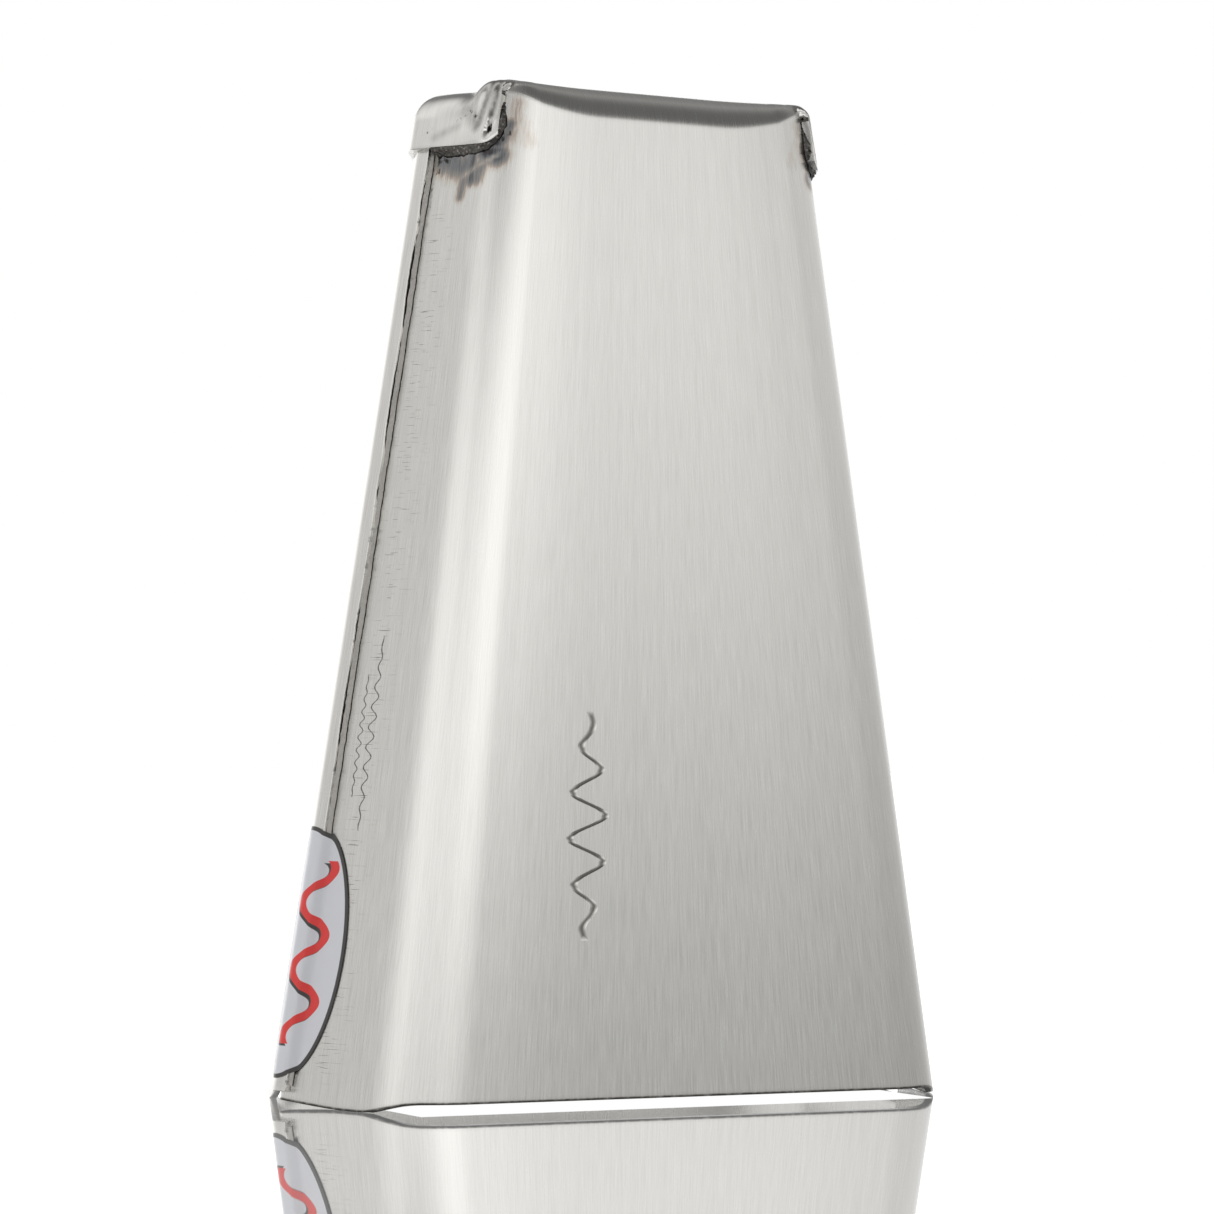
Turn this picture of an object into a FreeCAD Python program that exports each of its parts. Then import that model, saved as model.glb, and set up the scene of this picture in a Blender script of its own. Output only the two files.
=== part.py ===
"""Hand-held sheet-steel cowbell: two folded shells, their weld beads and an oval side label.

Frame: millimetres, +Z up, the bell stands on its mouth. The origin is the middle of the mouth on
the surface it stands on, the front face looks along -Y and the side seams lie at +X and -X.
"""
import FreeCAD, Part
import math
import os

Vector = FreeCAD.Vector

# Driving dimensions
height = 210.0  # floor to the top of the crown
mouth_width = 126.0  # front face, corner to corner, at the mouth
mouth_depth = 70.0  # outside of the front face to the rear face, at the mouth
crown_width = 71.0  # the same two measures, carried up to the crown
crown_depth = 41.0
side_angle = 19.3  # degrees that each front flange leans out on its way to the seam ridge
rear_angle = 23.0  # the same for the rear flanges
mouth_corner_radius = 18.5  # outside radius of the bend between face and flange
crown_corner_radius = 11.0
sheet = 1.6  # steel thickness
crown_bend_radius = 7.0  # outside radius of the folds round the crown
flap_drop = 13.5  # the crown's flaps, from the crown's top to their free edge
flap_setback = 3.3  # the end flaps' front edge, behind the front face
seam_lap = 3.2  # the rear flange's lip, past the ridge and over the front flange
seam_bead = 1.0  # leg of the weld along the lip, on the front flange
flap_bead = 2.2  # height of the weld under the flaps
face_rim_lift = 2.0  # the rim's height above the floor under the front and rear faces
front_seam_lift = 1.1  # the front rim's height at the seams
rear_seam_lift = 3.0  # the rear rim's height at the seams
foot_length = 9.0  # stretch of rim that stands on the floor at each corner, front to back
foot_setback = 7.0  # from a face to that stretch
label_length = 51.0  # the oval label, along the seam
label_width = 25.0
label_thickness = 0.25
label_height = 31.0  # its centre above the floor
rim_ramp = 1.6  # the ramp from a foot up to the lifted rim: its length over its height
rim_arch = 0.72  # the rim's curve towards a seam: its height halfway over its height at the seam
weld_end = 0.2  # a weld stops this far short of the edge it runs along
overrun = 1.0  # how far cutting bodies run past what they cut

# Worked-out sizes
slope = math.tan(math.radians(side_angle))
lean = math.radians(side_angle)
rear_lean = math.radians(rear_angle)
flange_out = Vector(-math.cos(lean), -math.sin(lean), 0)  # outward normal, left front flange
# Sideways shift from the ridge to the outside of the fold between a rear flange and its lip
fold_shift = sheet * (math.sin(lean) + math.sin(rear_lean)) / math.sin(lean + rear_lean)
flap_edge = height - flap_drop
roll_start = height - crown_bend_radius
big = 2.0 * height


def blend(at_mouth, at_crown, z):
    """Value at height z of a size that changes evenly from the mouth to the crown."""
    return at_mouth + (at_crown - at_mouth) * z / height


def half_width(z):
    """Half the face's width at height z."""
    return blend(mouth_width, crown_width, z) / 2


def half_depth(z):
    """Distance at height z from the seams' plane to the outside of a face."""
    return blend(mouth_depth, crown_depth, z) / 2


def corner_radius(z):
    """Outside radius at height z of the bends between face and flange."""
    return blend(mouth_corner_radius, crown_corner_radius, z)


def mirror_x(points):
    """The same points on the other side of the middle plane, in reverse order."""
    return [Vector(-p.x, p.y, p.z) for p in reversed(points)]


class Corner:
    """Left bend of a section that faces front: its ends on flange and face, and its middle."""

    def __init__(self, z, shift=0.0, radius=None, inset=0.0, leaning=lean):
        d = half_depth(z)
        w = -ridge_point(z).x - math.tan(leaning) * d + shift
        r = corner_radius(z) if radius is None else radius
        turn = math.pi / 2 - leaning
        tangent = r * math.tan(turn / 2)
        corner = Vector(-w, -d, z)
        centre = Vector(-w + tangent, -d + r, z)
        along_flange = Vector(-math.sin(leaning), math.cos(leaning), 0)
        towards = Vector(corner.x - centre.x, corner.y - centre.y, 0).normalize()
        reach = r - inset
        on_flange = corner + along_flange * tangent
        self.flange = centre + (on_flange - centre) * (reach / r)
        self.middle = centre + towards * reach
        self.face = centre + Vector(0, -reach, 0)


def ridge_point(z, shift=0.0):
    """Outer edge of the left seam ridge at height z, moved out sideways by shift."""
    return Vector(-half_width(z) - shift - slope * half_depth(z), 0, z)


def wire_of(runs):
    """Closed wire of runs, each two points for a line or three for an arc."""
    edges = []
    for run in runs:
        if len(run) == 3:
            edges.append(Part.Arc(*run).toShape())
        else:
            edges.append(Part.LineSegment(*run).toShape())
    return Part.Wire(edges)


def shell_path(z, shift, inset, start, leaning=lean):
    """Left half of a shell's outline, from its flange's end to the middle of its face."""
    c = Corner(z, shift, inset=inset, leaning=leaning)
    middle = Vector(0, c.face.y, z)
    return [[start, c.flange], [c.flange, c.middle, c.face], [c.face, middle]]


def whole_path(half):
    """Both halves of an outline, in order from the left flange's end to the right one's."""
    joined = [half[0], half[1]]
    left_face, middle = half[2]
    joined.append([left_face, Vector(-left_face.x, left_face.y, left_face.z)])
    joined.append(mirror_x(half[1]))
    joined.append(mirror_x(half[0]))
    return joined


def reversed_path(path):
    """The same path, run through the other way."""
    return [list(reversed(run)) for run in reversed(path)]


def front_profile(z):
    """Section of the front shell: one sheet thick, ending square at the ridge."""
    outer_end = ridge_point(z)
    inner_end = outer_end - flange_out * sheet
    outer = whole_path(shell_path(z, 0.0, 0.0, outer_end))
    inner = whole_path(shell_path(z, 0.0, sheet, inner_end))
    right_outer, right_inner = mirror_x([outer_end])[0], mirror_x([inner_end])[0]
    return wire_of(outer + [[right_outer, right_inner]] + reversed_path(inner) + [[inner_end, outer_end]])


def rear_profile(z):
    """Section of the rear shell, drawn facing front: a lip follows each flange past the ridge."""
    outer_ridge = ridge_point(z, fold_shift)
    inner_ridge = ridge_point(z)
    back = Vector(math.sin(lean), math.cos(lean), 0)  # along the lip, away from this face
    outer_lip = inner_ridge + back * seam_lap + Vector(-math.cos(lean), math.sin(lean), 0) * sheet
    inner_lip = inner_ridge + back * seam_lap
    outer = whole_path(shell_path(z, fold_shift, 0.0, outer_ridge, rear_lean))
    inner = whole_path(shell_path(z, fold_shift, sheet, inner_ridge, rear_lean))
    left_end = [[inner_ridge, inner_lip], [inner_lip, outer_lip], [outer_lip, outer_ridge]]
    right_end = reversed_path([[Vector(-p.x, p.y, p.z) for p in run] for run in left_end])
    return wire_of(outer + right_end + reversed_path(inner) + left_end)


def loft(profile, low, high):
    """Straight-sided solid between a profile's sections at two heights."""
    return Part.makeLoft([profile(low), profile(high)], True, True)


def turned_back(shape):
    """A shape drawn facing front, turned round the vertical to face the rear."""
    turned = shape.copy()
    turned.rotate(Vector(0, 0, 0), Vector(0, 0, 1), 180)
    return turned


def prism_x(outline, reach=big):
    """Outline of lines and arcs in the YZ plane, carried sideways to both sides."""
    face = Part.Face(wire_of([[Vector(-reach, y, z) for y, z in run] for run in outline]))
    return face.extrude(Vector(2 * reach, 0, 0))


def rim_cut(side, seam_lift):
    """What is cut from a shell's lower edge, so that it stands on its two corners only.

    side is -1 for the front shell and +1 for the rear one.
    """
    face_y = half_depth(0.0)
    foot_far = face_y - foot_setback
    foot_near = foot_far - foot_length
    ramp_top = foot_far + face_rim_lift * rim_ramp
    past = -seam_lap - 2 * sheet if side > 0 else -sheet
    arc_middle = [(foot_near + past) / 2, seam_lift * rim_arch]
    under = -2 * face_rim_lift
    lift = [
        [[foot_far, 0], [ramp_top, face_rim_lift]],
        [[ramp_top, face_rim_lift], [face_y + big, face_rim_lift]],
        [[face_y + big, face_rim_lift], [face_y + big, under]],
        [[face_y + big, under], [foot_far, under]],
        [[foot_far, under], [foot_far, 0]],
    ]
    arch = [
        [[past, seam_lift], arc_middle, [foot_near, 0]],
        [[foot_near, 0], [foot_near, under]],
        [[foot_near, under], [past, under]],
        [[past, under], [past, seam_lift]],
    ]
    cuts = []
    for outline in (lift, arch):
        cuts.append(prism_x([[[side * y, z] for y, z in run] for run in outline]))
    return cuts


def lid_outline(z, inset):
    """The crown's outline at height z: flush with the front, outside the shells elsewhere."""
    out = 2 * fold_shift
    body = Corner(z)
    front_corner = Vector(-half_width(z) - out, -half_depth(z), z)
    tangent = body.face.x - front_corner.x
    radius = tangent / math.tan((math.pi / 2 - lean) / 2)
    front = Corner(z, out, radius, inset)
    rear = Corner(z, fold_shift, inset=inset - sheet, leaning=rear_lean)
    ridge = ridge_point(z, out - inset / math.cos(lean))

    def rearward(p):
        return Vector(p.x, -p.y, p.z)

    left = [
        [front.face, front.middle, front.flange],
        [front.flange, ridge],
        [ridge, rearward(rear.flange)],
        [rearward(rear.flange), rearward(rear.middle), rearward(rear.face)],
    ]
    right = reversed_path([[Vector(-p.x, p.y, p.z) for p in run] for run in left])
    front_line = [[right[-1][-1], left[0][0]]]
    rear_line = [[left[-1][-1], right[0][0]]]
    return wire_of(front_line + left + rear_line + right)


def rounded_block(inset, low):
    """Solid crown block, its top edges rounded, smaller by inset all round."""
    top = height - inset
    block = Part.makeLoft([lid_outline(low, inset), lid_outline(top, inset)], True, True)
    edges = [e for e in block.Edges if e.BoundBox.ZMin > top - sheet / 2]
    return block.makeFillet(crown_bend_radius - inset, edges)


def crown():
    """Crown sheet with its flaps, and the front edge that rolls down into the front face."""
    lid = rounded_block(0.0, flap_edge).cut(rounded_block(sheet, flap_edge - overrun))
    depth = half_depth(flap_edge)
    start = Corner(flap_edge).face.x
    notch = Part.makeBox(big, flap_setback + sheet, roll_start - flap_edge + overrun)
    for side in (-1, 1):
        corner = notch.copy()
        x = start - big if side < 0 else -start
        corner.translate(Vector(x, -depth - sheet, flap_edge - overrun))
        lid = lid.cut(corner)
    return lid


def front_shell():
    """Front face, its side flanges, the crown and the crown's flaps: one bent sheet."""
    wall = loft(front_profile, 0.0, roll_start)
    shell = wall.fuse(crown()).removeSplitter()
    for cutter in rim_cut(-1, front_seam_lift):
        shell = shell.cut(cutter)
    return shell


def rear_shell():
    """Rear face and its side flanges, lapped outside the front shell's flanges."""
    shell = turned_back(loft(rear_profile, 0.0, roll_start))
    for cutter in rim_cut(1, rear_seam_lift):
        shell = shell.cut(cutter)
    return shell


def wedge(low, high):
    """Solid between two triangles or other straight-sided outlines."""
    sections = [Part.makePolygon(points + [points[0]]) for points in (low, high)]
    return Part.makeLoft(sections, True, True)


def seam_section(z):
    """Triangle of the left seam weld at height z, in the step between lip and front flange."""
    along = Vector(math.sin(lean), -math.cos(lean), 0)  # down the flange, towards the front
    toe_line = ridge_point(z) + along * seam_lap
    return [toe_line, toe_line + flange_out * sheet, toe_line + along * seam_bead]


def seam_weld(side):
    """Weld bead along one side seam."""
    bead = wedge(seam_section(rear_seam_lift + overrun), seam_section(flap_edge))
    return bead if side < 0 else bead.mirror(Vector(0, 0, 0), Vector(1, 0, 0))


def flap_weld(side):
    """Weld bead under one end flap, from the flap's front corner to the seam."""

    def section(y, top, leg):
        x_top = -half_width(top) - slope * (half_depth(top) + y)
        low = top - leg
        x_low = -half_width(low) - slope * (half_depth(low) + y)
        reach = Vector(x_top, y, top) + flange_out * (2 * sheet - weld_end)
        return [Vector(x_top, y, top), reach, Vector(x_low, y, low)]

    start = Corner(flap_edge).flange.y
    end = -seam_lap * math.cos(lean) - seam_bead - weld_end
    bead = wedge(section(start, flap_edge, flap_bead), section(end, flap_edge, flap_bead))
    return bead if side < 0 else bead.mirror(Vector(0, 0, 0), Vector(1, 0, 0))


def rear_flap_weld():
    """Weld bead under the crown's rear flap."""
    reach = abs(Corner(flap_edge).face.x) - overrun

    def section(x):
        low = flap_edge - flap_bead
        return [
            Vector(x, half_depth(flap_edge), flap_edge),
            Vector(x, half_depth(flap_edge) + sheet - weld_end, flap_edge),
            Vector(x, half_depth(low), low),
        ]

    return wedge(section(-reach), section(reach))


def side_label():
    """Oval label over the left seam, lying on both flanges, the lip and the weld."""
    half = label_width / 2
    low = label_height - label_length / 2 - overrun
    high = label_height + label_length / 2 + overrun

    def outline(z):
        ridge = ridge_point(z, fold_shift)
        toe = seam_section(z)
        along = Vector(math.sin(lean), -math.cos(lean), 0)
        rear_along = Vector(math.sin(rear_lean), math.cos(rear_lean), 0)
        lifted = flange_out * label_thickness
        rear_out = Vector(-math.cos(rear_lean), math.sin(rear_lean), 0)
        inner = [toe[0] + along * half, toe[2], toe[1], ridge, ridge + rear_along * (half + overrun)]
        bead_out = (toe[2] - toe[1]).cross(Vector(0, 0, 1)).normalize()
        if bead_out.dot(flange_out) < 0:
            bead_out = bead_out * -1
        outer = [
            inner[0] + lifted,
            inner[1] + (lifted + bead_out * label_thickness) * 0.5,
            inner[2] + (lifted + bead_out * label_thickness) * 0.5,
            Vector(ridge.x - label_thickness / math.cos(lean), 0, z),
            inner[4] + rear_out * label_thickness,
        ]
        return inner + list(reversed(outer))

    band = wedge(outline(low), outline(high))
    centre = Vector(0, 0, label_height)
    oval = Part.Ellipse(centre, label_length / 2, half * math.cos(lean)).toShape()
    oval.rotate(centre, Vector(0, 1, 0), -90)
    punch = Part.Face(Part.Wire(oval)).extrude(Vector(-big, 0, 0))
    return band.common(punch)


def main():
    """Build every node, print its measures and write it as a STEP file."""
    nodes = {
        "front_shell": front_shell(),
        "rear_shell": rear_shell(),
        "left_seam_weld": seam_weld(-1),
        "right_seam_weld": seam_weld(1),
        "left_flap_weld": flap_weld(-1),
        "right_flap_weld": flap_weld(1),
        "rear_flap_weld": rear_flap_weld(),
        "side_label": side_label(),
    }
    os.makedirs("parts", exist_ok=True)
    for name, shape in nodes.items():
        box = shape.BoundBox
        print(name, shape.ShapeType, len(shape.Solids), shape.isValid(), round(shape.Volume, 1),
              [round(v, 2) for v in (box.XMin, box.XMax, box.YMin, box.YMax, box.ZMin, box.ZMax)])
        shape.exportStep("parts/" + name + ".step")


main()
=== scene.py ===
"""Looks of a hand-held cowbell: two brushed steel shells, their welds and an oval side label.

Every length is in millimetres and becomes metres where a mesh is made. The bell stands on its
mouth, +Z up, its front face towards -Y and its side seams at -X (left) and +X (right).

A wall's surface has two parameters: s, the distance along the sheet from the seam's ridge, round
the bend and across the face, and z, the height. A third number, off, lifts a point off the sheet.
"""

import logging
import math
from dataclasses import dataclass, replace
from enum import Enum

import bmesh
import bpy
import numpy as np
from mathutils import Matrix, Vector


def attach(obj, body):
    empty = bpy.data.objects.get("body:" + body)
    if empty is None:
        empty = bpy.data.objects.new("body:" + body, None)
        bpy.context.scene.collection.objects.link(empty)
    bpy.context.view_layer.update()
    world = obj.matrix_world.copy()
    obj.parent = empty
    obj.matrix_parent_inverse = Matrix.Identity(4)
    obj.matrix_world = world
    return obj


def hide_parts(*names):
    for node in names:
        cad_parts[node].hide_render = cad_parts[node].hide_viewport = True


Array = np.ndarray
Socket = bpy.types.NodeSocket

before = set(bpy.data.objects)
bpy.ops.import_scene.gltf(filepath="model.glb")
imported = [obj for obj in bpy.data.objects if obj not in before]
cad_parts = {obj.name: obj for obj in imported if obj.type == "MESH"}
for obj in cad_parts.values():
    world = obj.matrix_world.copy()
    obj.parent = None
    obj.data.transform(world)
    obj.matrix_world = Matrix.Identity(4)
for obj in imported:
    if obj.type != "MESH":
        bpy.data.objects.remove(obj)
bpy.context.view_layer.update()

LOG = logging.getLogger("cowbell")
MM = 0.001


class Side(Enum):
    """Which side seam a piece belongs to; the value multiplies X."""

    LEFT = 1
    RIGHT = -1

    @property
    def word(self) -> str:
        """The side's name as piece names use it."""
        return self.name.lower()


class Half(Enum):
    """Which half of the bell a surface belongs to; the value multiplies Y."""

    FRONT = 1
    REAR = -1


# ---- The bell's form ----


def smooth(low: float, high: float, value: Array) -> Array:
    """Smooth step from 0 to 1: 3t^2 - 2t^3, with t the share of the way from low to high."""
    t = np.clip((value - low) / (high - low), 0.0, 1.0)
    return t * t * (3.0 - 2.0 * t)


def mix(a: Array, b: Array, share: Array) -> Array:
    """Value that goes from a to b as share goes from 0 to 1."""
    return a + (b - a) * share


FRONT_ANGLE = math.radians(19.3)  # how far the front half's flanges lean from square
REAR_ANGLE = math.radians(23.0)  # and the rear half's
# A skin of thickness t round both flanges has its ridge this many times t further out.
RIDGE_SPREAD = (math.sin(FRONT_ANGLE) + math.sin(REAR_ANGLE)) / math.sin(FRONT_ANGLE + REAR_ANGLE)


@dataclass(frozen=True)
class Form:
    """Driving sizes of the bell and the surface of its walls."""

    height: float = 210.0
    mouth_width: float = 126.0
    mouth_depth: float = 70.0
    crown_width: float = 71.0
    crown_depth: float = 41.0
    side_angle: float = FRONT_ANGLE
    mouth_corner: float = 18.5
    crown_corner: float = 11.0
    sheet: float = 1.6
    fold: float = 0.18  # how far the seam's ridge is rounded off
    fold_reach: float = 1.2

    @property
    def turn(self) -> float:
        """Angle of the bend between flange and face."""
        return math.pi / 2 - self.side_angle

    def at_height(self, mouth: float, crown: float, z: Array) -> Array:
        """Size that changes evenly from the mouth to the crown."""
        return mouth + (crown - mouth) * z / self.height

    def half_width(self, z: Array) -> Array:
        """Half the face's width, to where face and flange would meet with no bend."""
        return self.at_height(self.mouth_width, self.crown_width, z) / 2

    def half_depth(self, z: Array) -> Array:
        """Distance from the seams' plane to the outside of a face."""
        return self.at_height(self.mouth_depth, self.crown_depth, z) / 2

    def corner(self, z: Array) -> Array:
        """Outside radius of the bend between flange and face."""
        return self.at_height(self.mouth_corner, self.crown_corner, z)

    def flange(self, z: Array) -> Array:
        """Length along the sheet from the ridge to the start of the bend."""
        tangent = self.corner(z) * math.tan(self.turn / 2)
        return self.half_depth(z) / math.cos(self.side_angle) - tangent

    def along(self, u: Array, z: Array) -> Array:
        """Length s along the sheet at column u.

        Args:
            u: 0 to 1 on the flange, 1 to 2 round the bend, 2 to 3 to the middle of the face.
            z: height.

        Returns:
            Distance from the ridge along the sheet.
        """
        tangent = self.corner(z) * math.tan(self.turn / 2)
        bend = self.corner(z) * self.turn
        face = self.half_width(z) - tangent
        on_flange = np.clip(u, 0, 1) * self.flange(z)
        return on_flange + np.clip(u - 1, 0, 1) * bend + np.clip(u - 2, 0, 1) * face

    def at(self, s: Array, z: Array, off: Array) -> Array:
        """Point of the left front quarter of the wall.

        A straight flange from the ridge, then an arc through the turn angle, then the straight
        face; off moves the point along the outward normal, and sideways only at the ridge.

        Args:
            s: distance from the ridge along the sheet.
            z: height.
            off: distance outside the sheet's outer surface.

        Returns:
            Array of points, one more axis than the arguments.
        """
        s, z, off = np.broadcast_arrays(np.asarray(s, float), np.asarray(z, float), np.asarray(off, float))
        lean = self.side_angle
        width, depth, radius = self.half_width(z), self.half_depth(z), self.corner(z)
        tangent = radius * math.tan(self.turn / 2)
        flange = self.flange(z)
        angle = lean + np.clip((s - flange) / radius, 0.0, self.turn)
        normal_x, normal_y = -np.cos(angle), -np.sin(angle)
        past_bend = np.maximum(s - flange - radius * self.turn, 0.0)
        on_flange = np.minimum(s, flange)
        flange_x = -width - math.tan(lean) * depth + on_flange * math.sin(lean)
        flange_y = -on_flange * math.cos(lean)
        bend_x = -width + tangent + radius * normal_x
        bend_y = -depth + radius + radius * normal_y
        x = np.where(s <= flange, flange_x, bend_x + past_bend)
        y = np.where(s <= flange, flange_y, bend_y)
        mitre = 1.0 - np.clip(s / flange, 0.0, 1.0)
        normal_x = mix(normal_x, -RIDGE_SPREAD, mitre)
        normal_y = normal_y * (1.0 - mitre)
        rounding = self.fold * (1.0 - np.clip(s / self.fold_reach, 0.0, 1.0)) ** 2
        return np.stack([x + normal_x * off + rounding, y + normal_y * off, z], -1)


def with_angle(form: Form, angle: float) -> Form:
    """The form with other flange angles and the same seam ridges, so its face is narrower or wider."""
    change = math.tan(form.side_angle) - math.tan(angle)
    return replace(
        form,
        side_angle=angle,
        mouth_width=form.mouth_width + change * form.mouth_depth,
        crown_width=form.crown_width + change * form.crown_depth,
    )


FORM = Form()
REAR_FORM = with_angle(FORM, REAR_ANGLE)


def placed(points: Array, side: Side = Side.LEFT, half: Half = Half.FRONT) -> Array:
    """Quarter-wall points carried to their own side and half by changing signs."""
    return points * np.array([side.value, half.value, 1.0])


# ---- Marks painted or pressed on a sheet ----


@dataclass(frozen=True)
class Mark:
    """A stroke on the sheet, from one (s, z) point to another, fading out sideways."""

    start: tuple[float, float]
    end: tuple[float, float]
    width: float
    strength: float

    def paint(self, s: Array, z: Array) -> Array:
        """Strength times exp(-(d / width)^2), with d the distance to the stroke."""
        a, b = np.array(self.start), np.array(self.end)
        run = b - a
        length = max(float(run @ run), 1e-9)
        share = np.clip(((s - a[0]) * run[0] + (z - a[1]) * run[1]) / length, 0.0, 1.0)
        gap = np.hypot(s - a[0] - share * run[0], z - a[1] - share * run[1])
        return self.strength * np.exp(-((gap / self.width) ** 2))


def painted(marks: tuple[Mark, ...], s: Array, z: Array, combine: np.ufunc = np.maximum) -> Array:
    """The strongest of the marks at each point, or their sum with np.add; 0 where there is none."""
    level = np.zeros(np.broadcast(s, z).shape)
    for mark in marks:
        level = combine(level, mark.paint(s, z))
    return level


def ripple(length: int, step: int, seed: int) -> Array:
    """Smooth noise along a line: random heights every few points, joined by cosine curves."""
    draws = np.random.default_rng(seed).normal(size=length // step + 3)
    place = np.arange(length) / step
    low = place.astype(int)
    share = (1.0 - np.cos(np.pi * (place - low))) / 2
    return mix(draws[low], draws[low + 1], share)


# ---- Meshes ----


@dataclass
class Patch:
    """A grid of points with its flat pattern coordinates and named levels, all as arrays."""

    points: Array
    flat: Array
    levels: dict[str, Array]

    def faces(self, first: int) -> Array:
        """Four-sided faces of the grid: each point with its right, upper right and upper ones."""
        rows, cols = self.points.shape[:2]
        index = first + np.arange(rows * cols).reshape(rows, cols)
        corners = [index[:-1, :-1], index[:-1, 1:], index[1:, 1:], index[1:, :-1]]
        return np.stack(corners, -1).reshape(-1, 4)

    def flipped(self) -> "Patch":
        """The same patch with its columns reversed, so that its faces point the other way."""
        levels = {key: level[:, ::-1] for key, level in self.levels.items()}
        return Patch(self.points[:, ::-1], self.flat[:, ::-1], levels)


def build_mesh(name: str, patches: list[Patch]) -> bpy.types.Object:
    """One object from patches whose shared edges are merged.

    Args:
        name: object name.
        patches: grids in millimetres, faces turned outwards.

    Returns:
        The object, at the origin, with a UV map and one attribute for each level.
    """
    points, faces, flat, first = [], [], [], 0
    levels: dict[str, list[Array]] = {key: [] for patch in patches for key in patch.levels}
    for patch in patches:
        faces.append(patch.faces(first))
        points.append(patch.points.reshape(-1, 3))
        flat.append(patch.flat.reshape(-1, 2))
        for key, parts in levels.items():
            count = patch.points.shape[0] * patch.points.shape[1]
            parts.append(np.asarray(patch.levels.get(key, np.zeros(count))).reshape(-1))
        first += patch.points.shape[0] * patch.points.shape[1]
    corners = np.concatenate(faces)
    mesh = bpy.data.meshes.new(name)
    mesh.from_pydata((np.concatenate(points) * MM).tolist(), [], corners.tolist())
    layer = mesh.uv_layers.new(name="UVMap")
    layer.data.foreach_set("uv", np.concatenate(flat)[corners.reshape(-1)].astype(np.float32).reshape(-1))
    for key, parts in levels.items():
        attribute = mesh.attributes.new(key, "FLOAT", "POINT")
        attribute.data.foreach_set("value", np.concatenate(parts).astype(np.float32))
    obj = bpy.data.objects.new(name, mesh)
    bpy.context.scene.collection.objects.link(obj)
    weld = obj.modifiers.new("merge", "WELD")
    weld.merge_threshold = 0.02 * MM
    return obj


def thicken(obj: bpy.types.Object, wall: float) -> None:
    """Give a sheet its thickness, inwards from the surface that is there."""
    solid = obj.modifiers.new("sheet", "SOLIDIFY")
    solid.thickness = wall * MM
    solid.offset = -1.0
    solid.use_even_offset = True
    solid.use_quality_normals = True


def soften(obj: bpy.types.Object, width: float) -> None:
    """Round the cut edges of a sheet."""
    bevel = obj.modifiers.new("edges", "BEVEL")
    bevel.width = width * MM
    bevel.segments = 2
    bevel.limit_method = "ANGLE"
    bevel.angle_limit = math.radians(50.0)


def apply_modifiers(obj: bpy.types.Object) -> bpy.types.Mesh:
    """Give the object the mesh that its modifiers make, and remove them."""
    graph = bpy.context.evaluated_depsgraph_get()
    mesh = bpy.data.meshes.new_from_object(obj.evaluated_get(graph), depsgraph=graph)
    obj.modifiers.clear()
    obj.data = mesh
    return mesh


def settle(obj: bpy.types.Object, sharp: float = 38.0) -> bpy.types.Object:
    """Apply the modifiers and shade smooth, with creases where faces meet past an angle.

    Args:
        obj: the piece.
        sharp: angle of the creases in degrees.

    Returns:
        The same object with its final mesh.
    """
    final = apply_modifiers(obj)
    final.shade_smooth()
    final.set_sharp_from_angle(angle=math.radians(sharp))
    return obj


def stand(obj: bpy.types.Object) -> bpy.types.Object:
    """Grind the feet flat: whatever reaches below the floor is brought up to it."""
    places = np.empty(len(obj.data.vertices) * 3, dtype=np.float32)
    obj.data.vertices.foreach_get("co", places)
    places[2::3] = np.maximum(places[2::3], 0.0)
    obj.data.vertices.foreach_set("co", places)
    obj.data.update()
    return obj


def columns() -> Array:
    """Columns u of a half's grid from the left ridge to the middle, finer at flange and bend."""
    ridge = np.array([0.0, 0.02, 0.04, 0.06, 0.09])
    flange = np.linspace(0.13, 1.0, 24)
    flap_bend = np.linspace(1.0, FLAP_END, 15)[1:]
    bend = np.linspace(FLAP_END + FLAP_STEP, 2.0, 20)
    face = np.linspace(2.0, 3.0, 34)[1:]
    return np.concatenate([ridge, flange, flap_bend, bend, face])


def both_sides(u: Array) -> tuple[Array, Array]:
    """Columns from the left end to the right end, and the sign of X in each.

    Args:
        u: columns of the left half, ending at the middle.

    Returns:
        The column values, mirrored, and +1 on the left, -1 on the right.
    """
    sign = np.concatenate([np.ones(len(u)), -np.ones(len(u) - 1)])
    return np.concatenate([u, u[-2::-1]]), sign


FLAP_END = 1.4  # column of the end flap's front edge, in the bend
FLAP_STEP = 0.025
PATTERN_SHIFT = 400.0  # moves the rear half's pattern off the front's


def wall_patch(
    u: Array,
    sign: Array,
    z: Array,
    off: Array,
    half: Half,
    levels: dict[str, Array],
) -> Patch:
    """Grid of wall points: columns along the sheet, rows up it.

    Args:
        u: column values, one for each column.
        sign: +1 for the left side, -1 for the right, one for each column.
        z: heights, rows by columns.
        off: distance outside the sheet, rows by columns.
        half: front or rear; the rear's columns are reversed so its faces point outwards.
        levels: named levels, rows by columns.

    Returns:
        The patch.
    """
    form = FORM if half is Half.FRONT else REAR_FORM
    s = form.along(u[None, :], z)
    points = form.at(s, z, off) * np.stack([sign, np.full_like(sign, half.value), np.ones_like(sign)], -1)
    across = FORM.along(u, np.full_like(u, FORM.height / 2))
    middle = FORM.along(np.array(3.0), np.array(FORM.height / 2))
    flat_x = np.where(sign > 0, across, 2 * middle - across) + (PATTERN_SHIFT if half is Half.REAR else 0.0)
    flat = np.stack([np.broadcast_to(flat_x, z.shape), z], -1)
    patch = Patch(points, flat, levels)
    return patch.flipped() if half is Half.REAR else patch


# ---- Finishes ----


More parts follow.
